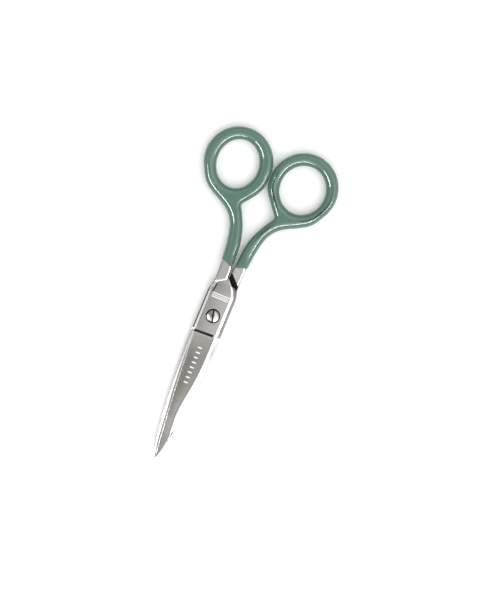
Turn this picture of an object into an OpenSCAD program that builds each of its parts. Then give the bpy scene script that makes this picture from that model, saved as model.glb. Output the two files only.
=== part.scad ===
// Small dipped-handle scissors: two forged halves, a vinyl coat on each handle, one pivot screw.
// Origin on the pivot axis at the resting plane, +Y to the bows, +Z up, front half on top, closed.

/* [Overall] */
// Pivot axis to the blade tips
blade_len = 69.5; // [57.9:0.1:83.4]
// Pivot axis to the top of the bows
handle_len = 85.4; // [71.1:0.1:102.5]
// Width over both closed bows
bow_span = 63.8; // [53.1:0.1:76.6]
// Thickness over the dipped handles
grip_thick = 6; // [5.4:0.1:7.2]

/* [Joint] */
// Thickness over both halves where they cross
joint_thick = 4.8; // [4:0.1:5.4]
// Space between the two inner faces
blade_gap = 0.1; // [0.06:0.02:0.2]
// Pivot axis to the back of a blade
spine_w = 6.8; // [5.7:0.1:8.1]
// Pivot axis to the other side of the joint
joint_w = 6.2; // [5.2:0.1:7.4]
// Height of the handle's shoulder above the pivot
shoulder_y = 14.4; // [13:0.2:17.2]

/* [Blade] */
// Thickness of a blade at its step
blade_thick = 1.75; // [1.4:0.05:2.1]
// Thickness of a blade near its tip
tip_thick = 0.9; // [0.75:0.05:1.1]
// Pivot axis to the step where the blade is ground down
step_y = 8.5; // [7:0.5:10]

/* [Pivot screw] */
// Screw shank diameter
screw_d = 4; // [3.2:0.1:4.8]
// Screw head diameter
head_d = 5.8; // [4.8:0.1:7]
// Space around the head in its round recess, on the radius
head_gap = 0.4; // [0.3:0.02:0.5]
// Running clearance around the screw in the front half, on the radius
run_gap = 0.05; // [0.02:0.01:0.1]
// Turn of the screw slot from the long axis, in degrees
slot_turn = 14; // [0:1:180]

/* [Handles] */
// Width of the front bow's finger hole
front_hole_w = 19.2; // [16:0.2:20.4]
// Width of the rear bow's finger hole
rear_hole_w = 20.8; // [17.4:0.2:22]
// Height of both finger holes
hole_h = 22.4; // [18.6:0.2:23.6]
// Thickness of the vinyl coat around the bows
coat = 0.8; // [0.66:0.01:1]

/* [Hidden] */
mid_z = grip_thick / 2;
lap_top = joint_thick / 2;
lap_low = blade_gap / 2;
// A steel shank stands proud of the flat joint, and the coat just covers it
shank_top = lap_top + 0.25;
recess_depth = 1;
head_lift = 0.4;
slot_w = 0.6;
slot_depth = 0.8;
thread_flare = 0.6;
// The outlines below are drawn for these two sizes and scale with the real ones
drawn_len = 85.4;
drawn_span = 63.8;
ky = handle_len / drawn_len;
kx = bow_span / drawn_span;
bow_c = [15.98 * kx, 69.2 * ky];
bow_r = [15.9 * kx, 16.2 * ky];
hole_c = [15.9 * kx, 68.2 * ky];
hole_tilt = -4;
edge_round = 2.5;
// Half of the rear bow's extra hole width moves its inner side back by this much
waist = 1.4;

// Handle outline away from the other handle, from the coat's end up to the bow's arc
outer_side = [[6.3, 25.6], [6.5, 28], [7, 33], [7.9, 38], [9.1, 42], [10.9, 44.9], [13.2, 47.3],
              [16.3, 49.3], [20.2, 51.3], [24, 53.5], [26.6, 55.9], [28.35, 58.6]];
// Handle outline towards the other handle, from the bow's arc down round the notch
inner_side = [[0.2, 66], [0.5, 63.4], [1.3, 60.8], [2.8, 58], [4.7, 55.3], [6.4, 53.2],
              [7.1, 52.2], [7.2, 51.2], [6.7, 50.1], [5.5, 48.1], [3.2, 43.2], [1.7, 38.6],
              [0.8, 33.8], [0.45, 28], [0.4, 24.2]];
// How far the waist is felt along the inner side
waist_at = [[24, 0.3], [36, 0.35], [46, 0.8], [50, 1], [57, 1], [64, 0]];

// Catmull-Rom curve through the points p, with n steps between two of them
function bend(a, b, c, d, t) =
    0.5 * (2 * b + (c - a) * t + (2 * a - 5 * b + 4 * c - d) * t * t
           + (3 * b - a - 3 * c + d) * t * t * t);
function smooth(p, n) =
    let (e = len(p) - 1)
    [for (i = [0 : e - 1], k = [0 : n - 1])
        bend(p[max(i - 1, 0)], p[i], p[i + 1], p[min(i + 2, e)], k / n), p[e]];

// Handle outline, bow on +X, round the bow from its far side to its near side
function handle_outline(back) = concat(
    smooth([for (q = outer_side) [q.x * kx, q.y * ky]], 2),
    [for (t = [-32 : 7.5 : 178]) bow_c + [bow_r.x * cos(t), bow_r.y * sin(t)]],
    smooth([for (q = inner_side) [(q.x + back * lookup(q.y, waist_at)) * kx, q.y * ky]], 2));

// Finger hole outline: a tilted ellipse of width w, grown by g
function hole_outline(w, g) = [for (t = [0 : 8 : 359])
    let (u = (w / 2 + g) * cos(t), v = (hole_h / 2 + g) * sin(t))
    hole_c + [u * cos(hole_tilt) - v * sin(hole_tilt), u * sin(hole_tilt) + v * cos(hole_tilt)]];

// Outline p moved inwards by d along its normals, with the two ends moved along X only
function inset(p, d) =
    let (e = len(p) - 1)
    [for (i = [0 : e])
        let (s = p[min(i + 1, e)] - p[max(i - 1, 0)], m = norm(s))
        p[i] + d * [-s.y / m, (i == 0 || i == e) ? 0 : s.x / m]];

// Closed solid skinned through rings of the same number of points
module skin(rings) {
    n = len(rings[0]);
    m = len(rings);
    polyhedron(
        points = [for (r = rings) each r],
        faces = [
            [for (i = [n - 1 : -1 : 0]) i],
            [for (i = [0 : n - 1]) (m - 1) * n + i],
            for (j = [0 : m - 2], i = [0 : n - 1])
                each [[j * n + i, (j + 1) * n + (i + 1) % n, (j + 1) * n + i],
                      [j * n + i, j * n + (i + 1) % n, (j + 1) * n + (i + 1) % n]]]);
}

// Handle body with a finger hole and rounded edges: half thickness h, edge radius r, all
// shrunk by c from the outside of the coat
module handle(hole_w, back, h, r, c) {
    p = handle_outline(back);
    turns = [90, 64, 40, 14, -14, -40, -64, -90];
    difference() {
        skin([for (t = turns) [for (q = inset(p, c + r * (1 - cos(t)))) [q.x, q.y, h * sin(t)]]]);
        // The hole's own skin passes just over the flat faces and runs on beyond them
        skin([for (t = concat(91, turns, -91))
            [for (q = hole_outline(hole_w, c + r * (1 - cos(min(abs(t), 90)))))
                [q.x, q.y, abs(t) > 90 ? sign(t) * (h + 1) : (h + 0.03) * sin(t)]]]);
    }
}

// Blade back and cutting edge, as distances from the long axis, u from the step to the tip
function spine_x(y) = spine_w * pow(max(1 - pow(-y / blade_len, 2), 0), 0.7);
function edge_x(y) =
    (joint_w - 0.3) * pow(max((blade_len + y) / (blade_len - step_y), 0), 0.76);

// One cross-section of a blade or joint at y, from the cutting edge over the face to the back.
// a: edge wall [x, z], b: start of the face [x, z], c: end of the face [x, z],
// d: shoulder of the back [x, z], e: back [x, z], hollow: depth of the hollow inner face,
// lean: slant of the section
function section(y, a, b, c, d, e, hollow, lean) =
    let (w = a.x - e.x)
    [for (q = [[a.x, lap_low], a, b, c, d, e, [e.x, lap_low], [e.x + 0.1 * w, lap_low],
               [(a.x + e.x) / 2, lap_low + hollow], [a.x - 0.08 * w, lap_low]])
        [q.x, y + lean * q.x, q.y]];

// Blade section at y: satin face sloping down to the edge, polished facet at the back
function blade_section(y, lean = 0) =
    let (u = (-y - step_y) / (blade_len - step_y),
         s = spine_x(y), x = edge_x(y),
         t = blade_thick + (tip_thick - blade_thick) * u,
         w = min(0.45, 0.3 * (x + s)),
         f = max(0.5 * s, s - 2.2 - 1.8 * sin(180 * min(max(u * 1.35 - 0.2, 0), 1))))
    section(y, [x, lap_low + 0.08], [x - w, lap_low + 0.4 * t * (1 - 0.3 * u)],
            [-f, lap_low + t], [-0.82 * s, lap_low + 0.86 * t], [-s, lap_low + 0.5 * t],
            0.12 * (1 - u), lean);

// Joint sections below the shoulder, where the outline is straight
function joint_section(y, lean = 0) =
    section(y, [joint_w, lap_top - 0.5], [joint_w - 1.2, lap_top], [-spine_w + 2.4, lap_top],
            [-spine_w + 1.1, lap_top - 0.4], [-spine_w, lap_low + 0.6], 0, lean);

// Joint section at a height over the corner where the diagonal shoulder starts
function shoulder_section(v, xe, xf, xd, xb) =
    section(shoulder_y + v, [xe, lap_top - 0.5], [xe - 1.2, lap_top], [-xf, lap_top],
            [-xd, lap_top - 0.4], [-xb, lap_low + 0.6], 0, 0);

// Blade and lap joint, all on one side of the inner face
module blade_and_lap() {
    span = blade_len - step_y;
    skin([
        for (u = [0.998, 0.99, 0.975, 0.95, 0.91, 0.86, 0.8, 0.73, 0.65, 0.56, 0.47, 0.38, 0.29,
                  0.2, 0.11, 0.04])
            blade_section(-step_y - span * u),
        blade_section(-step_y - 0.4, -0.05),
        joint_section(-step_y + 0.4, -0.05),
        joint_section(-step_y + 4),
        joint_section(shoulder_y - 6),
        shoulder_section(-3.2, joint_w - 0.1, 4.25, 5.5, spine_w - 0.1),
        shoulder_section(-1.6, joint_w - 0.5, 3.7, 5.1, spine_w - 0.6),
        shoulder_section(0, joint_w - 0.7, 2.8, 4.6, spine_w - 1.1),
        shoulder_section(1.2, joint_w - 0.7, 2.1, 3.6, 4.4),
        shoulder_section(2.6, joint_w - 0.6, 1.2, 2.1, 2.7),
        shoulder_section(3.8, joint_w - 0.5, 0.3, 0.7, 1.2),
        shoulder_section(4.6, joint_w - 0.5, -0.9, -0.5, 0.1)]);
}

// Shank section at y from x = a to x = b, half thickness h, with bevels w wide
function shank_section(y, a, b, h, w, lean) = [
    for (q = [[a, 0.5 - h], [a + w, -h], [b - w, -h], [b, 0.5 - h],
              [b, h - 0.5], [b - w, h], [a + w, h], [a, h - 0.5]])
        [q.x, y + lean * (q.x - 3), q.y]];

// Steel shank from its shoulder on the joint up into the coat
module shank() {
    y = shoulder_y;
    in_coat = grip_thick / 2 - coat;
    difference() {
        skin([
            shank_section(y + 1.6, 0.4, joint_w - 0.7, lap_top - 0.05, 1, -0.63),
            shank_section(y + 2.3, 0.35, joint_w - 0.6, shank_top, 1, -0.6),
            shank_section(y + 6.5, 0.35, joint_w - 0.4, shank_top, 1, -0.3),
            shank_section(24 * ky, 0.6, 5.95 * kx, shank_top, 1, 0),
            shank_section(26 * ky, 0.9, 5.85 * kx, shank_top - 0.05, 1.1, 0),
            shank_section(30 * ky, 1.3, 5.8 * kx, in_coat, 1.4, 0),
            shank_section(33 * ky, 1.7, 5.9 * kx, in_coat - 0.1, 1.4, 0)]);
        // The other half's lap turns under the shoulder
        translate([0, 0, -shank_top - 1]) linear_extrude(shank_top + 1 + lap_low)
            polygon([[-3, y + 7.6], [-3, y - 4], [9, y - 4], [9, y - 1], [5.8, y + 1.9], [1, y + 6.6]]);
    }
}

// One steel forging, bow on +X, outer face up, inner face at z = 0
module forging(hole_w, back) {
    resize([0, 0, 2 * shank_top]) union() {
        blade_and_lap();
        shank();
        handle(hole_w, back, grip_thick / 2 - coat, edge_round - coat, coat);
    }
}

// Shallow grooves across the joint face and beside it
module face_grooves() {
    for (y = [8.3, 10.1]) translate([-4.4, y - 0.15, lap_top - 0.1]) cube([9, 0.3, 1]);
    translate([4.1, 10.4, lap_top - 0.25]) rotate([0, 0, 8]) cube([0.5, 4.2, 1]);
}

module front_half() {
    color("silver") translate([0, 0, mid_z]) mirror([1, 0, 0]) difference() {
        forging(front_hole_w, 0);
        cylinder(h = 20, d = screw_d + 2 * run_gap, center = true, $fn = 64);
        translate([0, 0, lap_top - recess_depth]) cylinder(h = 5, d = head_d + 2 * head_gap, $fn = 64);
        face_grooves();
    }
}

module rear_half() {
    color("silver") translate([0, 0, mid_z]) mirror([0, 0, 1]) difference() {
        forging(rear_hole_w, waist);
        cylinder(h = 20, d = screw_d, center = true, $fn = 64);
        translate([0, 0, lap_top - thread_flare])
            cylinder(h = 2 * thread_flare, r1 = screw_d / 2, r2 = screw_d / 2 + 2 * thread_flare, $fn = 64);
    }
}

// Vinyl coat cut to the steel inside it
module dipped(hole_w, back) {
    resize([0, 0, grip_thick]) difference() {
        handle(hole_w, back, grip_thick / 2, edge_round, 0);
        forging(hole_w, back);
    }
}

module front_grip() {
    color("seagreen") translate([0, 0, mid_z]) mirror([1, 0, 0]) dipped(front_hole_w, 0);
}

module rear_grip() {
    color("seagreen") translate([0, 0, mid_z]) mirror([0, 0, 1]) dipped(rear_hole_w, waist);
}

// Slotted screw with a domed head, its far end peened into the rear half
module pivot_screw() {
    head_z = mid_z + lap_top - recess_depth + run_gap;
    head_top = mid_z + lap_top + head_lift;
    dome_r = 7;
    color("lightgrey") difference() {
        union() {
            translate([0, 0, mid_z - lap_top])
                cylinder(h = 2 * lap_top - recess_depth + 0.4, d = screw_d, $fn = 64);
            intersection() {
                translate([0, 0, head_z]) cylinder(h = 3, d = head_d, $fn = 64);
                translate([0, 0, head_top - dome_r]) sphere(r = dome_r, $fn = 96);
            }
            translate([0, 0, mid_z - lap_top])
                cylinder(h = thread_flare, r1 = screw_d / 2 + thread_flare, r2 = screw_d / 2, $fn = 64);
        }
        translate([0, 0, head_top - slot_depth]) rotate([0, 0, slot_turn])
            translate([-slot_w / 2, -head_d, 0]) cube([slot_w, 2 * head_d, 3]);
    }
}

front_half();
rear_half();
front_grip();
rear_grip();
pivot_screw();
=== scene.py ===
# Small dipped-handle scissors, lying closed on a white table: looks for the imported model.
# Everything is in metres, in the frame of the design: pivot at the origin, +Y to the bows, +Z up.

import bmesh
import bpy
import numpy as np
from mathutils import Matrix, Vector


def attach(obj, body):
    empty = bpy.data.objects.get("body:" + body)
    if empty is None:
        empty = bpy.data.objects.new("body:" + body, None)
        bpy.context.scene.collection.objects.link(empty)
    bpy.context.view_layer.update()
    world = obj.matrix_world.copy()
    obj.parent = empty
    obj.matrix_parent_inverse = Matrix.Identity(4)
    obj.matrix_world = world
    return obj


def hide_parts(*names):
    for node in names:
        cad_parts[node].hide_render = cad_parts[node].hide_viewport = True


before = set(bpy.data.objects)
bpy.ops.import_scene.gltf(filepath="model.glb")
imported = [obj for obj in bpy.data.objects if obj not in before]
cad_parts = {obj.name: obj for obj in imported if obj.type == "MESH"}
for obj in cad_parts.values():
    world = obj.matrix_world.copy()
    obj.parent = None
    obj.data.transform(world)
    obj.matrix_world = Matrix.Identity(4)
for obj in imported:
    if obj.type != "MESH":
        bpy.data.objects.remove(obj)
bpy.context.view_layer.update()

# ---------------------------------------------------------------------------------------------
# Steel halves: two drop forgings of stainless cutlery steel, hardened, then ground. The lap and
# the blade face are satin from a fine belt, and the back and the bevels are buffed on a wheel.
# Painted shade blackens the step, the crotch and the gaps; painted sheen lightens some flats.
# ---------------------------------------------------------------------------------------------
MM = 0.001                                # lengths in the shape functions are in millimetres
MID_Z = 3.0                               # height of the inner faces, where the halves meet
LAP_TOP, LAP_LOW, SHANK_TOP = 2.4, 0.05, 2.65
BLADE_LEN, STEP_Y, SHOULDER_Y = 69.5, 8.5, 14.4
SPINE_W, JOINT_W = 6.8, 6.2
BAR_FROM = 15.5                           # above this y the steel is the bar of the shank
BAND_LINES = (8.3, 10.1)                  # y of the two lines that edge the etched band


def smooth_curve(points, steps):
    """Catmull-Rom curve through the points: a cubic between each two, with end slopes halfway
    between their neighbours. Works for rows of any length."""
    p = np.array(points, float)
    q = np.vstack([p[:1], p, p[-1:]])
    t = (np.arange(steps) / steps)[None, :, None]
    a, b, c, d = (q[i:len(q) - 3 + i, None] for i in range(4))
    curve = 0.5 * (2 * b + (c - a) * t + (2 * a - 5 * b + 4 * c - d) * t ** 2
                   + (3 * b - a - 3 * c + d) * t ** 3)
    return np.vstack([curve.reshape(-1, p.shape[1]), p[-1:]])


def spine_x(y):
    """Back of the blade: spine width times (1 - (distance / length) ^ 2) ^ 0.7."""
    return SPINE_W * np.maximum(1 - (-y / BLADE_LEN) ** 2, 0) ** 0.7


def edge_x(y):
    """Cutting edge: joint width less 0.3 times (distance from the tip / blade) ^ 0.76."""
    return (JOINT_W - 0.3) * np.maximum((BLADE_LEN + y) / (BLADE_LEN - STEP_Y), 0) ** 0.76


def face_end(y):
    """Where the belt-ground face gives way to the buffed back, as it was held to the wheel."""
    line = smooth_curve([[-75, 2.7], [-66, 2.7], [-62, 2.65], [-58, 2.5], [-55, 2.2],
                         [-51.5, 1.75], [-48, 1.5], [-44, 1.75], [-40, 2.25], [-36, 2.9],
                         [-32, 3.5], [-28, 3.95], [-22, 4.3], [-10, 4.45], [0, 4.4]], 6)
    return np.interp(y, line[:, 0], line[:, 1])


def control_rows(y, a, b, c, d, e, hollow, bevel):
    """Ten corners (x, z) of a cross-section at each y: edge wall, face, two shoulders of the
    back, the back, its inner bevel, and the inner face with its hollow."""
    low = LAP_LOW + 0 * y
    width = a[0] - e[0]
    bevel = np.minimum(bevel, 0.2 * width)
    corners = [(a[0], low), a, b, c, d, e, (e[0], low + 0.3 * bevel), (e[0] + bevel, low),
               ((a[0] + e[0]) / 2, low + hollow), (a[0] - 0.08 * width, low)]
    return np.stack([np.stack([x + 0 * y, z + 0 * y], -1) for x, z in corners], 1)


def rounded_rows(rows, radius, hold=0.07, divided=None):
    """Rounds every corner of every row: a parabola from radius before the corner to radius
    after it, with one more point on each side that keeps the flats flat. The flat after the
    corner called divided gets ten more points across it."""
    before, after = np.roll(rows, 1, 1) - rows, np.roll(rows, -1, 1) - rows
    lb, la = (np.linalg.norm(v, axis=-1, keepdims=True) + 1e-9 for v in (before, after))
    before, after = before / lb, after / la
    radius = np.broadcast_to(radius, rows.shape[:2])[..., None]
    r = np.minimum(radius, 0.42 * np.minimum(lb, la))
    h = np.minimum(hold, 0.15 * r)
    t = np.linspace(0, 1, 5)[None, None, :, None]
    start, end = (rows + r * before)[:, :, None], (rows + r * after)[:, :, None]
    arc = (1 - t) ** 2 * start + 2 * t * (1 - t) * rows[:, :, None] + t ** 2 * end
    full = np.concatenate([(rows + (r + h) * before)[:, :, None], arc,
                           (rows + (r + h) * after)[:, :, None]], 2)
    ring = full.reshape(len(rows), -1, 2)
    if divided is None:
        return ring
    cut = full.shape[2] * (divided + 1)
    part = np.linspace(0, 1, 12)[None, 1:-1, None]
    between = (1 - part) * ring[:, cut - 1:cut] + part * ring[:, cut:cut + 1]
    return np.concatenate([ring[:, :cut], between, ring[:, cut:]], 1)


def new_piece(name, points, faces):
    """Mesh object in the scene, from points in mm and the faces between them."""
    mesh = bpy.data.meshes.new(name)
    mesh.from_pydata((np.reshape(points, (-1, 3)) * MM).tolist(), [], faces)
    piece = bpy.data.objects.new(name, mesh)
    bpy.context.scene.collection.objects.link(piece)
    return piece


def ring_quads(rings, around, start=0):
    """Point numbers of closed rings, counted from start, and the quads from ring to ring."""
    k = start + np.arange(rings * around).reshape(rings, around)
    nxt = np.roll(k, -1, 1)
    return k, np.stack([k[:-1], nxt[:-1], nxt[1:], k[1:]], -1).reshape(-1, 4)


def closed_rings(name, points):
    """Closed solid through points[ring, place, xyz] in mm, flat at its first and last ring."""
    k, sides = ring_quads(*points.shape[:2])
    return new_piece(name, points, sides.tolist() + [k[0, ::-1].tolist(), k[-1].tolist()])


def skinned(name, rows, y, lean, lean_from=0.0):
    """Closed mesh through the rows: point (x, z) of a row stands at y + lean * x."""
    x, z = rows[..., 0], rows[..., 1]
    solid = closed_rings(name, np.stack(
        [x, y[:, None] + lean[:, None] * (x - lean_from), z], -1))
    bm = bmesh.new()
    bm.from_mesh(solid.data)
    bmesh.ops.recalc_face_normals(bm, faces=bm.faces)
    bm.to_mesh(solid.data)
    bm.free()
    return solid


def joined(solid, other, operation):
    """Adds another closed solid to this one, or cuts it away, and removes the other."""
    tool = solid.modifiers.new(operation, "BOOLEAN")
    tool.operation, tool.object, tool.solver = operation, other, "EXACT"
    tool.material_mode = "TRANSFER"
    result = bpy.data.meshes.new_from_object(
        solid.evaluated_get(bpy.context.evaluated_depsgraph_get()))
    solid.modifiers.clear()
    solid.data = result
    bpy.data.objects.remove(other)
    return solid


def drum(name, radii, heights, steps=96):
    """Closed turned solid about the pivot axis: one ring of the given radius at each height."""
    turn = np.linspace(0, 2 * np.pi, steps, endpoint=False)
    r, z = np.array(radii)[:, None], np.array(heights)[:, None] + 0 * turn
    return closed_rings(name, np.stack([r * np.cos(turn), r * np.sin(turn), z], -1))


def block(name, outline, low, high, turn=0.0, place=(0.0, 0.0)):
    """Closed prism on an outline in mm, counter-clockwise, turned about its own origin."""
    outline = np.array(outline, float) @ np.array([[np.cos(turn), np.sin(turn)],
                                                   [-np.sin(turn), np.cos(turn)]]) + place
    n = len(outline)
    points = np.vstack([np.c_[outline, np.full(n, low)], np.c_[outline, np.full(n, high)]])
    k = np.arange(n)
    sides = np.stack([k, np.roll(k, -1), np.roll(k, -1) + n, k + n], -1)
    return new_piece(name, points, sides.tolist() + [k[::-1].tolist(), (k + n).tolist()])


def blade_and_lap(name):
    """Blade, step, lap joint and diagonal shoulder, skinned from the tip upwards."""
    # u runs from just short of 1 at the tip to nearly 0 at the step, its rows closer at the tip
    u = np.append(0.998 - 0.9824 * np.linspace(0, 1, 90) ** 1.2, [0.012, 0.0093, 0.0066])
    y = -STEP_Y - (BLADE_LEN - STEP_Y) * u
    s, x = spine_x(y), edge_x(y)
    thick_at_step, thick_at_tip = 1.75, 0.9
    t = thick_at_step + (thick_at_tip - thick_at_step) * u
    w = np.minimum(0.45, 0.3 * (x + s))   # width of the bevel behind the edge
    f = np.minimum(np.maximum(face_end(y), 0.3 * s), 0.93 * s)
    # The face leans towards the edge by the same angle all the way down
    face_slope = 0.115
    blade = control_rows(
        y, (x, LAP_LOW + 0.08), (x - w, LAP_LOW + t - face_slope * (x - w + f)),
        (-f, LAP_LOW + t),
        (-0.6 * f - 0.4 * s, LAP_LOW + 0.8 * t), (-s, LAP_LOW + 0.42 * t), 0.12 * (1 - u), 1.3)
    # From the step up: y, edge, face start, face end, shoulder, back, height of the back's foot
    lap = smooth_curve([[-8.1, 6.2, 5.0, 4.4, 5.4, 6.8], [-4.5, 6.2, 5.0, 4.4, 5.4, 6.8],
                        [0, 6.2, 5.0, 4.4, 5.4, 6.8], [4, 6.2, 5.0, 4.4, 5.4, 6.8],
                        [8.4, 6.2, 5.0, 4.4, 5.4, 6.8], [11.2, 6.1, 4.9, 4.25, 5.2, 6.7],
                        [12.8, 5.7, 4.5, 3.7, 4.7, 6.2], [14.4, 5.5, 4.3, 2.8, 3.9, 5.7],
                        [15.6, 5.5, 4.3, 2.1, 3.0, 4.4], [17, 5.6, 4.4, 1.2, 1.8, 2.7],
                        [18.2, 5.7, 4.5, 0.3, 0.6, 1.2], [19, 5.7, 4.5, -0.9, -0.6, 0.1]], 4)
    # Two rows close above the step give its shading a crisp upper edge
    lap = np.vstack([lap[:1], lap[:1] + [[0.06, 0, 0, 0, 0, 0], [0.12, 0, 0, 0, 0, 0]], lap[1:]])
    yl, e, b, c, d, back = lap.T
    joint = control_rows(yl, (e, LAP_TOP - 0.5), (b, LAP_TOP), (-c, LAP_TOP),
                         (-d, LAP_TOP - 0.4), (-back, LAP_LOW + 0.6), 0, 0.6)
    mix = np.linspace(0, 1, 9)[1:-1]
    ease = (mix ** 2 * (3 - 2 * mix))[:, None, None]
    step = (1 - ease) * blade[-1] + ease * joint[0]
    ys = y[-1] + (yl[0] - y[-1]) * mix
    rows = np.concatenate([blade, step, joint])
    places = np.concatenate([y, ys, yl])
    lean = -0.05 * np.clip(1 - np.abs(places + STEP_Y) / 5, 0, 1)
    # Corner radii: on the blade the back rolls off softly, on the lap the bevels are crisp
    on_blade = np.clip((-STEP_Y - 3.5 - places) / 16, 0, 1)[:, None]
    radius = on_blade * [0.04, 0.06, 0.12, 1.3, 1.2, 0.5, 0.2, 0.3, 0.6, 0.1] \
        + (1 - on_blade) * [0.04, 0.1, 0.12, 0.14, 0.25, 0.5, 0.15, 0.15, 0.6, 0.1]
    return skinned(name, rounded_rows(rows, radius, divided=2), places, lean)


def shank(name):
    """Steel shank, an eight-sided bar from its shoulder on the lap up into the coat, cut away
    below where the other half's lap turns."""
    y0 = SHOULDER_Y
    rows = smooth_curve([[y0 + 1.7, 0.4, 5.5, 2.35, 0.7, -0.63],
                         [y0 + 2.1, 0.35, 5.6, 2.65, 0.7, -0.6],
                         [y0 + 6.5, 0.35, 5.8, 2.65, 0.7, -0.3], [24, 0.6, 5.9, 2.62, 0.8, 0],
                         [26, 1.0, 5.6, 2.5, 1.1, 0], [30, 1.8, 5.0, 2.1, 1.1, 0]], 5)
    y, a, b, h, w, lean = rows.T
    corners = [(a, 0.5 - h), (a + w, -h), (b - w, -h), (b, 0.5 - h),
               (b, h - 0.5), (b - w, h), (a + w, h), (a, h - 0.5)]
    grid = np.stack([np.stack(q, -1) for q in corners], 1)
    bar = skinned(name, rounded_rows(grid, [0.3] * 8), y, lean, 3.0)
    under = [[-3, y0 - 4], [9, y0 - 4], [9, y0 - 1], [5.8, y0 + 1.9], [1, y0 + 6.6],
             [-3, y0 + 7.6]]
    return joined(bar, block("room_below", under, -SHANK_TOP - 1, LAP_LOW), "DIFFERENCE")


def linear(hex_colour):
    """sRGB hex as linear RGBA: c / 12.92 in the toe, ((c + 0.055) / 1.055) ^ 2.4 above it."""
    c = np.array([int(hex_colour[i:i + 2], 16) for i in (1, 3, 5)]) / 255
    c = np.where(c <= 0.04045, c / 12.92, ((c + 0.055) / 1.055) ** 2.4)
    return (*c, 1.0)


def add(tree, kind, inputs=(), **settings):
    """Adds one node with its settings; inputs are (socket, value or output socket) pairs."""
    node = tree.nodes.new(kind)
    for name, value in settings.items():
        setattr(node, name, value)
    for socket, value in inputs:
        if isinstance(value, bpy.types.NodeSocket):
            tree.links.new(value, node.inputs[socket])
        else:
            node.inputs[socket].default_value = value
    return node


def new_material(name):
    """A material with an empty node tree."""
    material = bpy.data.materials.new(name)
    material.use_nodes = True
    material.node_tree.nodes.clear()
    return material, material.node_tree


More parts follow.
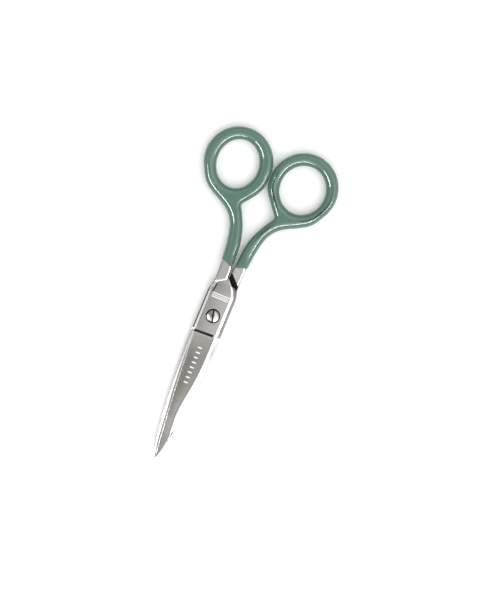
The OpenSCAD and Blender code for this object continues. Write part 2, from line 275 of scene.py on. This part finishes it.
def cutlery_steel(name, marked):
    """Stainless cutlery steel. The blade face carries belt lines across it, drawn 0.3 mm apart
    so that they show, and the lap is blasted to a paler, finer grain. Buffed parts are near
    mirrors. Painted shade is matt black, and painted sheen makes the flats paler where it is set.
    A marked half has a plain row of white enamel bars on its blade and a band of etched strokes,
    edged by two lines, across its lap."""
    material, tree = new_material(name)
    place = add(tree, "ShaderNodeTexCoord")
    polish = add(tree, "ShaderNodeAttribute", attribute_name="polish")
    # Attributes: polish, painted shade, ground, and painted sheen (a painted reflection)
    scale = add(tree, "ShaderNodeAttribute", attribute_name="scale")
    ground = add(tree, "ShaderNodeAttribute", attribute_name="ground")
    painted_sheen = add(tree, "ShaderNodeAttribute", attribute_name="painted_sheen")
    across = add(tree, "ShaderNodeMapping", [(0, place.outputs["Object"]), (3, (400, 3300, 400))])
    lines = add(tree, "ShaderNodeTexNoise", [(0, across.outputs[0]), (2, 1.0), (3, 3.0)])
    cloud = add(tree, "ShaderNodeTexNoise", [(0, place.outputs["Object"]), (2, 260.0), (3, 3.0)])
    grain = add(tree, "ShaderNodeTexNoise", [(0, place.outputs["Object"]), (2, 2500.0), (3, 2.0)])
    fresh = add(tree, "ShaderNodeMix", [(0, cloud.outputs[0]), (6, linear("#8f8b86")),
                                        (7, linear("#aaa7a2"))], data_type="RGBA")
    blast = add(tree, "ShaderNodeMix", [(0, grain.outputs[0]), (6, linear("#9a9894")),
                                        (7, linear("#a9a7a3"))], data_type="RGBA")
    dull = add(tree, "ShaderNodeMix", [(0, ground.outputs["Fac"]), (6, blast.outputs[2]),
                                       (7, fresh.outputs[2])], data_type="RGBA")
    # Painted reflection: where the sheen attribute is set, the flats are painted paler
    satin = add(tree, "ShaderNodeMix", [(0, painted_sheen.outputs["Fac"]), (6, dull.outputs[2]),
                                        (7, linear("#d3d0cb"))], data_type="RGBA")
    steel = add(tree, "ShaderNodeMix", [(0, polish.outputs["Fac"]), (6, satin.outputs[2]),
                                        (7, linear("#c6c5c3"))], data_type="RGBA")
    # Painted shade: where the shade attribute is set, the steel is painted near black
    steel_with_shade = add(tree, "ShaderNodeMix", [(0, scale.outputs["Fac"]), (6, steel.outputs[2]),
                                       (7, linear("#211f1e"))], data_type="RGBA")
    matt = add(tree, "ShaderNodeMapRange", [(0, ground.outputs["Fac"]), (3, 0.30), (4, 0.27)])
    buffed = add(tree, "ShaderNodeMapRange", [(0, polish.outputs["Fac"]), (3, matt.outputs[0]),
                                              (4, 0.12)])
    rough = add(tree, "ShaderNodeMapRange", [(0, scale.outputs["Fac"]), (3, buffed.outputs[0]),
                                             (4, 0.6)])
    depth = add(tree, "ShaderNodeMapRange", [(0, polish.outputs["Fac"]), (3, 0.35), (4, 0.03)])
    bump = add(tree, "ShaderNodeBump", [(0, depth.outputs[0]), (1, 0.00002),
                                        ("Height", lines.outputs[0])])
    colour, shine, gloss = steel_with_shade.outputs[2], 1.0, rough.outputs[0]
    if marked:
        in_mm = add(tree, "ShaderNodeVectorMath", [(0, place.outputs["Object"]), (3, 1 / MM)],
                    operation="SCALE")
        at = add(tree, "ShaderNodeSeparateXYZ", [(0, in_mm.outputs[0])])

        def within(value, middle, reach):
            """1 where the value lies within reach of the middle, else 0."""
            return add(tree, "ShaderNodeMath", [(0, value), (1, middle), (2, reach)],
                       operation="COMPARE").outputs[0]

        def both(one, other, operation="MULTIPLY"):
            """The two masks together, or with MAXIMUM either of them."""
            return add(tree, "ShaderNodeMath", [(0, one), (1, other)],
                       operation=operation).outputs[0]

        def repeat(value, pitch):
            """Place within a repeat of the given pitch, from 0 to 1."""
            turns = both(value, 1 / pitch)
            return add(tree, "ShaderNodeMath", [(0, turns)], operation="FRACT").outputs[0]

        x, y = at.outputs[0], at.outputs[1]
        # Bars 1.9 mm long and 0.6 mm wide at every 2.4 mm; strokes half as wide as their pitch
        bars = both(within(repeat(y, 2.4), 0.5, 0.125), within(x, 0.0, 0.95))
        enamel = both(bars, within(y, -24.0, 8.9))
        band = both(within(repeat(x, 0.75), 0.5, 0.25), within(y, sum(BAND_LINES) / 2, 0.3))
        for line in BAND_LINES:
            band = both(band, within(y, line, 0.17), "MAXIMUM")
        etched = both(band, within(x, 0.0, 4.1))
        pale = add(tree, "ShaderNodeMix", [(0, etched), (6, colour), (7, linear("#d6d4d0"))],
                   data_type="RGBA")
        white = add(tree, "ShaderNodeMix", [(0, enamel), (6, pale.outputs[2]),
                                            (7, linear("#f4f3f0"))], data_type="RGBA")
        soft = add(tree, "ShaderNodeMapRange", [(0, both(etched, enamel, "MAXIMUM")), (3, gloss),
                                                (4, 0.5)])
        not_metal = add(tree, "ShaderNodeMapRange", [(0, enamel), (3, shine), (4, 0.0)])
        colour, shine, gloss = white.outputs[2], not_metal.outputs[0], soft.outputs[0]
    shader = add(tree, "ShaderNodeBsdfPrincipled",
                 [("Base Color", colour), ("Metallic", shine), ("Roughness", gloss),
                  ("Normal", bump.outputs[0])])
    add(tree, "ShaderNodeOutputMaterial", [(0, shader.outputs[0])])
    return material


def rising(distance, width):
    """0 to 1 as the distance grows from 0 to the width."""
    return np.clip(distance / width, 0, 1)


def finish_marks(mesh):
    """Point attributes from each point's place in the half, in mm. polish is 0 on the flat
    faces and 1 on the bevels and the buffed back. Painted shade is full at the step, in the
    crotch, in the slit and round the screw, less beside the bevels, and faint on the lap's inner
    face. ground is 1 on the blade. Painted sheen, a painted reflection, makes the flats brighter
    in places along and across the blade, on the lap and on the bar."""
    points = np.empty(len(mesh.vertices) * 3)
    mesh.vertices.foreach_get("co", points)
    x, y, z = points.reshape(-1, 3).T / MM

    # Flat faces: from start, behind the edge's bevel, to stop, where the buffed back begins
    on_blade = y < -STEP_Y
    start = np.where(on_blade, edge_x(np.minimum(y, -STEP_Y)) - 0.5, 5.0)
    stop = np.where(on_blade, np.minimum(face_end(y), 0.93 * spine_x(np.minimum(y, -1))),
                    np.interp(y, [11.2, 12.8, 14.4, 17, 19], [4.4, 3.7, 2.8, 1.2, -0.9]))
    blend = np.interp(y, [-66, -54, -36, -24], [0.5, 1.5, 1.5, 0.4])
    face = rising(start - x + 0.075, 0.15) * rising(stop + x + blend / 2, blend)
    on_bar = (y > BAR_FROM) & (z > 2.42)
    under_bar = (y > BAR_FROM) & (z < -0.4)
    bar = rising(5.0 - x, 0.2) * rising(x - 1.1, 0.2)
    polish = np.where(z > 0.26, 1 - np.where(on_bar, bar, face), np.where(under_bar, 1 - bar, 0.3))

    # Painted shade at the step, in the crotch, the slit, the recess and the gaps, and a painted
    # shaded strip along the back
    middle = STEP_Y + 0.15 + y + 0.05 * x  # distance from the middle of the slanting step
    step = rising(0.68 - np.abs(middle), 0.08) * ((x < 5.5) & (x > -3.9) & (z > 0.4))
    crotch = rising(y - 12.5, 1.5) * rising(1.9 - z, 0.4) * (z > -0.4)
    inside = ((z < 0.2) & (z > -0.4) & (y > -STEP_Y)) * np.where(x < -6.12, 1, 0.25)
    recess = (np.hypot(x, y) < 3.32) & (z < LAP_TOP - 0.5) & (z > LAP_LOW + 0.2)
    in_slit = (y > 10.2) & (y < 14.8) & (x > 3.3) & (x < 4.8) \
        & (np.abs(z - LAP_TOP + 0.25) < 0.02)
    wall = (y > BAR_FROM) & (x < 0.8) & (np.abs(z) < 2.3)
    corner = (np.abs(x - 5.0) < 0.22) & (z > 2.3) & (y > -STEP_Y + 0.9) & (y < 15)
    back = np.where(y > 11.2, np.interp(y, [11.2, 12.8, 14.4, 17], [6.7, 6.2, 5.7, 2.7]),
                    spine_x(np.clip(y, -BLADE_LEN, 0)))
    side = rising(np.interp(y, [-22, -8], [1.3, 1.45]) - x - back, 0.15) \
        * (z > 0.45) * (y < 14) * rising(y + 30, 14)
    scale = np.maximum.reduce([step, crotch, inside, recess, in_slit, wall, 0.7 * corner,
                               side * np.interp(y, [-20, -9], [0.75, 0.55])])

    # Painted sheen, a painted reflection: brightness of the flats along and across the blade,
    # across the lap, and on the bar
    painted_sheen = np.interp(y, [-68, -60, -52, -44, -36, -21, -13, -9.6],
                       [0.3, 0.25, 0.4, 0.55, 0.3, 0.15, 0.6, 0.8]) \
        + np.clip(-x, -3, 2) * np.interp(y, [-60, -44, -30, -20, -12], [0.1, 0.2, 0.12, 0.06, 0])
    on_lap = np.interp(x, [-4.5, 0, 4.5], [0.75, 0.5, 0.08]) \
        - np.interp(y, [10, 13, 15.5, 16], [0, 0.25, 0.25, 0])
    painted_sheen = np.where(y < -STEP_Y - 0.2, painted_sheen,
                      np.where(under_bar, 0.9, np.where(on_bar, 0.6, on_lap)))
    for name, values in (("polish", polish * (1 - side)), ("scale", scale), ("painted_sheen", painted_sheen),
                         ("ground", np.maximum(rising(-STEP_Y - 0.6 - y, 1.0), side))):
        layer = mesh.attributes.new(name, "FLOAT", "POINT")
        layer.data.foreach_set("value", values.astype(np.float32))


def placed(solid, mirror_x, mirror_z):
    """Mirrors the finished half into its place in the joint, with its faces still outwards.
    First it mends what the cuts left behind: points closer than weld, and missing triangles."""
    weld = 0.002 * MM
    bm = bmesh.new()
    bm.from_mesh(solid.data)
    bmesh.ops.remove_doubles(bm, verts=bm.verts, dist=weld)
    bmesh.ops.dissolve_degenerate(bm, edges=bm.edges, dist=weld)
    bmesh.ops.holes_fill(bm, edges=[e for e in bm.edges if e.is_boundary], sides=3)
    bmesh.ops.triangulate(bm, faces=[f for f in bm.faces if len(f.verts) > 4])
    bm.to_mesh(solid.data)
    bm.free()
    solid.data.transform(Matrix.Diagonal((-1 if mirror_x else 1, 1, -1 if mirror_z else 1, 1)))
    if mirror_x != mirror_z:
        solid.data.flip_normals()
    solid.data.transform(Matrix.Translation((0, 0, MID_Z * MM)))
    solid.data.set_sharp_from_angle(angle=np.radians(40))
    return solid


front = joined(blade_and_lap("front_steel"), shank("front_shank"), "UNION")
CLEAR = 9                                 # a cutter this far out passes right through
front = joined(front, drum("bore", [2.05, 2.05], [-CLEAR, CLEAR]), "DIFFERENCE")
front = joined(front, drum("recess", [3.3, 3.3], [LAP_TOP - 1, CLEAR]), "DIFFERENCE")
groove = [[-4.4, -0.15], [4.6, -0.15], [4.6, 0.15], [-4.4, 0.15]]
for y in BAND_LINES:
    front = joined(front, block("groove", groove, LAP_TOP - 0.08, CLEAR, 0, (0, y)),
                   "DIFFERENCE")
slit = [[0, 0], [0.5, 0], [0.5, 4.2], [0, 4.2]]
front = joined(front, block("slit", slit, LAP_TOP - 0.25, CLEAR, np.radians(8), (4.1, 10.4)),
               "DIFFERENCE")
finish_marks(front.data)
placed(front, True, False)
rear = joined(blade_and_lap("rear_steel"), shank("rear_shank"), "UNION")
rear = joined(rear, drum("bore", [2, 2, 3.2], [-CLEAR, LAP_TOP - 0.6, 3.0]), "DIFFERENCE")
finish_marks(rear.data)
placed(rear, False, True)

for half, body, node, steel in (
        (front, "front", "front_half", cutlery_steel("printed_cutlery_steel", True)),
        (rear, "rear", "rear_half", cutlery_steel("plain_cutlery_steel", False))):
    half.data.materials.clear()
    half.data.materials.append(steel)
    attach(half, body)
    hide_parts(node)

# ---------------------------------------------------------------------------------------------
# Handle coats: each shank and bow was dipped hot in green vinyl plastisol, which ran to an even
# skin with soft round edges and a flat land between them. It ends in a thin lip on the steel.
# ---------------------------------------------------------------------------------------------


def coat_outline(back, end):
    """Closed outline of a dipped handle with its bow on +X, in mm: up the far side, round the
    bow's ellipse, and down the near side through the notch, then across the coat's end. Each
    point also has the reach of the rounded edge there: wide on the shank, thin at the end."""
    far = smooth_curve([[6.3, 25.6], [6.5, 28], [7, 33], [7.9, 38], [9.1, 42], [10.9, 44.9],
                        [13.2, 47.3], [16.3, 49.3], [20.2, 51.3], [24, 53.5], [26.6, 55.9],
                        [28.35, 58.6]], 8)
    near = np.array([[0.2, 66], [0.5, 63.4], [1.3, 60.8], [2.8, 58], [4.7, 55.3], [6.4, 53.2],
                     [7.1, 52.2], [7.2, 51.2], [6.7, 50.1], [5.5, 48.1], [3.2, 43.2],
                     [1.7, 38.6], [0.8, 33.8], [0.45, 28], [0.4, 24.6]])
    near[:, 0] += back * np.interp(near[:, 1], [24, 36, 46, 50, 57, 64],
                                   [0.3, 0.35, 0.8, 1, 1, 0])
    turn = np.radians(np.arange(-32, 180, 2.0))
    bow = np.c_[15.98 + 15.8 * np.cos(turn), 69.2 + 16.1 * np.sin(turn)]
    across = smooth_curve([near[-1], *end, far[0]], 6)[1:-1]
    near = smooth_curve(near, 8)
    reach = np.concatenate([np.interp(far[:, 1], [25.6, 31, 47, 53, 58], [0.9, 3.3, 3.3, 3, 2.5]),
                            np.full(len(bow), 2.5),
                            np.interp(near[:, 1], [24.6, 29, 52, 58], [0.8, 2.4, 2.4, 2.6]),
                            np.full(len(across), 0.35)])
    return np.vstack([far, bow, near, across]), reach


def hole_outline(width):
    """Finger hole: an ellipse 22.4 mm high, tilted four degrees, in mm."""
    turn = np.radians(np.arange(0, 360, 2.0))
    height, tilt, middle = 22.4, np.radians(-4), (15.9, 68.2)
    u, v = width / 2 * np.cos(turn), height / 2 * np.sin(turn)
    return np.c_[middle[0] + u * np.cos(tilt) - v * np.sin(tilt),
                 middle[1] + u * np.sin(tilt) + v * np.cos(tilt)]


def rounded_wall(outline, inward, reach, half, levels):
    """Grid of a rounded edge: at angle t from -90 to 90 degrees the outline moves inwards by
    reach * (1 - cos t) and stands at half * sin t. Returns points[level, place, xyz]."""
    t = np.linspace(-np.pi / 2, np.pi / 2, levels)[:, None]
    side = np.roll(outline, -1, 0) - np.roll(outline, 1, 0)
    side /= np.linalg.norm(side, axis=1)[:, None]
    n = inward * np.c_[-side[:, 1], side[:, 0]]
    shift = (1 - np.cos(t)) * reach
    x, y = outline[:, 0] + shift * n[:, 0], outline[:, 1] + shift * n[:, 1]
    return np.stack([x, y, half * np.sin(t) + 0 * x], axis=-1)


def dipped_coat(name, hole_width, back, end, x_sign):
    """Mesh of one coat: the outer rounded wall, the hole's rounded wall, and two flat lands."""
    outline, reach = coat_outline(back, end)
    hole_reach, levels = 3.3, 33
    outer = rounded_wall(outline, 1, reach, MID_Z, levels)
    hole = rounded_wall(hole_outline(hole_width), -1, hole_reach, MID_Z, levels)
    points, faces, start = [], [], 0
    for grid in (outer, hole):
        faces.append(ring_quads(*grid.shape[:2], start)[1])
        points.append(grid.reshape(-1, 3))
        start += len(points[-1])
    points = np.vstack(points) * [x_sign, 1, 1] + [0, 0, MID_Z]
    coat = new_piece(name, points, np.vstack(faces).tolist())
    bm = bmesh.new()
    bm.from_mesh(coat.data)
    for level in (-1, 1):
        rim = [e for e in bm.edges if e.is_boundary
               and all(level * (v.co.z / MM - MID_Z) > 2.9 for v in e.verts)]
        bmesh.ops.triangle_fill(bm, use_beauty=True, edges=rim)
    bmesh.ops.recalc_face_normals(bm, faces=bm.faces)
    bm.to_mesh(coat.data)
    bm.free()
    coat.data.shade_smooth()
    return coat


def dipped_vinyl(name):
    """Plasticised PVC: a soft green body under its own gloss, with the faint sag waves of a dip
    8 mm long and the fine orange peel of 0.6 mm that a plastisol skin keeps."""
    material, tree = new_material(name)
    place = add(tree, "ShaderNodeTexCoord")
    sag = add(tree, "ShaderNodeTexNoise", [(0, place.outputs["Object"]), (2, 120.0), (3, 1.0)])
    peel = add(tree, "ShaderNodeTexNoise", [(0, place.outputs["Object"]), (2, 1600.0), (3, 2.0)])
    mixed = add(tree, "ShaderNodeTexNoise", [(0, place.outputs["Object"]), (2, 500.0), (3, 4.0)])
    tone = add(tree, "ShaderNodeMix", [(0, mixed.outputs[0]), (6, linear("#587768")),
                                       (7, linear("#5d7d6e"))], data_type="RGBA")
    waves = add(tree, "ShaderNodeBump", [(0, 0.1), (1, 0.0002), ("Height", sag.outputs[0])])
    skin = add(tree, "ShaderNodeBump", [(0, 0.06), (1, 0.00003), ("Height", peel.outputs[0]),
                                        ("Normal", waves.outputs[0])])
    shader = add(tree, "ShaderNodeBsdfPrincipled",
                 [("Base Color", tone.outputs[2]), ("Roughness", 0.1), ("IOR", 1.53),
                  ("Normal", skin.outputs[0])])
    add(tree, "ShaderNodeOutputMaterial", [(0, shader.outputs[0])])
    return material


vinyl = dipped_vinyl("green_dipped_vinyl")
front_end = [[0.8, 23.9], [1.6, 23.6], [3, 24.3], [4.6, 24.8], [5.9, 25.1]]
rear_end = [[1.2, 24.1], [2.0, 24.0], [4, 24.6], [5.4, 25.2], [6.0, 25.35]]
for name, node, body, width, back, end, x_sign in (
        ("front_coat", "front_grip", "front", 19.2, 0.0, front_end, -1),
        ("rear_coat", "rear_grip", "rear", 20.8, 1.4, rear_end, 1)):
    coat = dipped_coat(name, width, back, end, x_sign)
    coat.data.materials.append(vinyl)
    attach(coat, body)
    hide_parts(node)

# ---------------------------------------------------------------------------------------------
# Pivot screw: turned from bright bar, slotted, screwed in from the front and peened at the back.
# ---------------------------------------------------------------------------------------------
HEAD_LOW, HEAD_TOP, DOME_R = MID_Z + 1.45, MID_Z + 2.8, 7.0
SLOT_TURN, SLOT_HALF, SLOT_DEEP = np.radians(14), 0.32, 0.8


def turned_screw(name):
    """Turned profile: flared end, shank, head with a rounded rim, and a dome of radius 7 mm."""
    rim = np.radians(np.linspace(0, 70, 6))
    dome_start = HEAD_TOP - DOME_R + np.sqrt(DOME_R ** 2 - 2.75 ** 2)
    r_dome = np.linspace(2.6, 0.02, 14)
    radii = [2.55, 2.6, 2.5, 2.05, 2.0, 2.0, 2.8, 2.9, 2.9, *(2.75 + 0.15 * np.cos(rim)), *r_dome]
    heights = [0.6, 0.62, 0.75, 1.18, 1.3, HEAD_LOW, HEAD_LOW, HEAD_LOW + 0.1, dome_start - 0.2,
               *(dome_start - 0.15 + 0.15 * np.sin(rim)),
               *(HEAD_TOP - DOME_R + np.sqrt(DOME_R ** 2 - r_dome ** 2))]
    return drum(name, radii, heights)


screw = turned_screw("slotted_screw")
slot = [[-SLOT_HALF, -6], [SLOT_HALF, -6], [SLOT_HALF, 6], [-SLOT_HALF, 6]]
screw = joined(screw, block("slot", slot, HEAD_TOP - SLOT_DEEP, CLEAR, SLOT_TURN), "DIFFERENCE")
screw.data.set_sharp_from_angle(angle=np.radians(40))
points = np.empty(len(screw.data.vertices) * 3)
screw.data.vertices.foreach_get("co", points)
x, y, z = points.reshape(-1, 3).T / MM
# Painted shade fills the slot and the rim, and fades from the rim towards the middle of the head
off_slot = np.abs(x * np.cos(SLOT_TURN) + y * np.sin(SLOT_TURN))
radius = np.hypot(x, y)
dark = np.where((radius > 2.72) | (off_slot < SLOT_HALF + 0.01), 1.0,
                0.7 * rising(radius - 1.6, 1.1))
dark *= (z > HEAD_TOP - SLOT_DEEP - 0.02) & (radius < 2.95)
screw.data.attributes.new("painted_screw_shade", "FLOAT", "POINT").data.foreach_set(
    "value", dark.astype(np.float32))


def turned_steel(name):
    """Bright turned steel, with tool rings 0.25 mm apart about the pivot axis."""
    material, tree = new_material(name)
    place = add(tree, "ShaderNodeTexCoord")
    rings = add(tree, "ShaderNodeTexWave", [(0, place.outputs["Object"]), (1, 1250.0), (2, 1.0),
                                            (3, 1.0)], wave_type="RINGS", rings_direction="Z")
    stain = add(tree, "ShaderNodeTexNoise", [(0, place.outputs["Object"]), (2, 900.0), (3, 3.0)])
    tone = add(tree, "ShaderNodeMix", [(0, stain.outputs[0]), (6, linear("#a3a19e")),
                                       (7, linear("#bbb9b6"))], data_type="RGBA")
    # Painted shade: the slot and the rim of the head are painted near black
    painted_screw_shade = add(tree, "ShaderNodeAttribute", attribute_name="painted_screw_shade")
    screw_with_shade = add(tree, "ShaderNodeMix", [(0, painted_screw_shade.outputs["Fac"]), (6, tone.outputs[2]),
                                        (7, linear("#0d0c0b"))], data_type="RGBA")
    bump = add(tree, "ShaderNodeBump", [(0, 0.12), (1, 0.00001), ("Height", rings.outputs[0])])
    shader = add(tree, "ShaderNodeBsdfPrincipled",
                 [("Base Color", screw_with_shade.outputs[2]), ("Metallic", 1.0), ("Roughness", 0.24),
                  ("Normal", bump.outputs[0])])
    add(tree, "ShaderNodeOutputMaterial", [(0, shader.outputs[0])])
    return material


screw.data.materials.clear()
screw.data.materials.append(turned_steel("bright_turned_steel"))
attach(screw, "rear")
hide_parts("pivot_screw")

# ---------------------------------------------------------------------------------------------
# Table, light and camera. The table is a matt white sheet. A white room lights it, brighter to
# the lower right and dark above where the camera hangs, and two strips only show in the gloss.
# ---------------------------------------------------------------------------------------------


def white_card(name):
    """Matt white card with a trace of tooth."""
    material, tree = new_material(name)
    place = add(tree, "ShaderNodeTexCoord")
    tooth = add(tree, "ShaderNodeTexNoise", [(0, place.outputs["Object"]), (2, 900.0)])
    tone = add(tree, "ShaderNodeMix", [(0, tooth.outputs[0]), (6, linear("#f4f4f4")),
                                       (7, linear("#f8f8f8"))], data_type="RGBA")
    shader = add(tree, "ShaderNodeBsdfPrincipled",
                 [("Base Color", tone.outputs[2]), ("Roughness", 0.9),
                  ("Emission Color", linear("#ffffff")), ("Emission Strength", 0.1)])
    add(tree, "ShaderNodeOutputMaterial", [(0, shader.outputs[0])])
    return material


far = 3000                                # mm from the middle of the table to each side
table = new_piece("table", [(-far, -far, 0), (far, -far, 0), (far, far, 0), (-far, far, 0)],
                  [(0, 1, 2, 3)])
table.data.materials.append(white_card("matt_white_card"))

world = bpy.data.worlds.new("white_room")
world.use_nodes = True
tree = world.node_tree
tree.nodes.clear()
place = add(tree, "ShaderNodeTexCoord")
# Radiance rises from 0.22 near the floor to 1.85 overhead
split = add(tree, "ShaderNodeSeparateXYZ", [(0, place.outputs["Generated"])])
wall = add(tree, "ShaderNodeMapRange", [(0, split.outputs[2]), (1, 0.2), (2, 0.8), (3, 0.22),
                                        (4, 1.85)], interpolation_type="SMOOTHSTEP")
# It leans to the side of the key light, by up to half
key_side = add(tree, "ShaderNodeVectorMath", [(0, place.outputs["Generated"]),
                                              (1, (0.39, -0.31, 0.0))], operation="DOT_PRODUCT")
lean = add(tree, "ShaderNodeMath", [(0, key_side.outputs["Value"]), (1, 1.0)], operation="ADD")
room = add(tree, "ShaderNodeMath", [(0, wall.outputs[0]), (1, lean.outputs[0])],
           operation="MULTIPLY")
# It falls to 0.27 in a soft round patch overhead, where the camera hangs
to_camera = add(tree, "ShaderNodeVectorMath", [(0, place.outputs["Generated"]),
                                               (1, (-0.24, 0.0, 0.97))], operation="DOT_PRODUCT")
light = add(tree, "ShaderNodeMapRange", [(0, to_camera.outputs["Value"]), (1, 0.82), (2, 0.99),
                                         (3, room.outputs[0]), (4, 0.27)],
            interpolation_type="SMOOTHSTEP")
back_light = add(tree, "ShaderNodeBackground", [(0, (1, 1, 1, 1)), (1, light.outputs[0])])
add(tree, "ShaderNodeOutputWorld", [(0, back_light.outputs[0])])
bpy.context.scene.world = world


def strip_light(name, azimuth, height, width, tall, radiance, away=0.7):
    """Soft strip at an azimuth and height in degrees about the middle, width and tall in
    degrees as seen from there, of a given radiance (1 is white)."""
    az, el = np.radians(azimuth), np.radians(height)
    place = Vector((away * np.cos(el) * np.cos(az), away * np.cos(el) * np.sin(az),
                    away * np.sin(el)))
    lamp = bpy.data.lights.new(name, "AREA")
    lamp.shape = "RECTANGLE"
    lamp.size, lamp.size_y = (2 * away * np.tan(np.radians(v) / 2) for v in (width, tall))
    lamp.energy = radiance * np.pi * lamp.size * lamp.size_y
    holder = bpy.data.objects.new(name, lamp)
    holder.location = place + Vector((0, 0.01, 0))
    holder.rotation_euler = (-place).to_track_quat("-Z", "Y").to_euler()
    holder.visible_diffuse = False
    bpy.context.scene.collection.objects.link(holder)


strip_light("key_strip", -40, 46, 80, 8, 25)
strip_light("side_strip", -143, 46, 30, 8, 42)

# The camera looks straight down, turned so that the tips point down and to the left
camera = bpy.data.cameras.new("camera")
distance = 0.9
camera.lens = 119.0
camera.clip_start, camera.clip_end = 0.01, 20
holder = bpy.data.objects.new("camera", camera)
holder.location = (0.00855, 0.01138, distance + 0.003)
holder.rotation_euler = (0, 0, np.radians(22.4))
bpy.context.scene.collection.objects.link(holder)
bpy.context.scene.camera = holder
bpy.context.scene.view_settings.view_transform = "Standard"
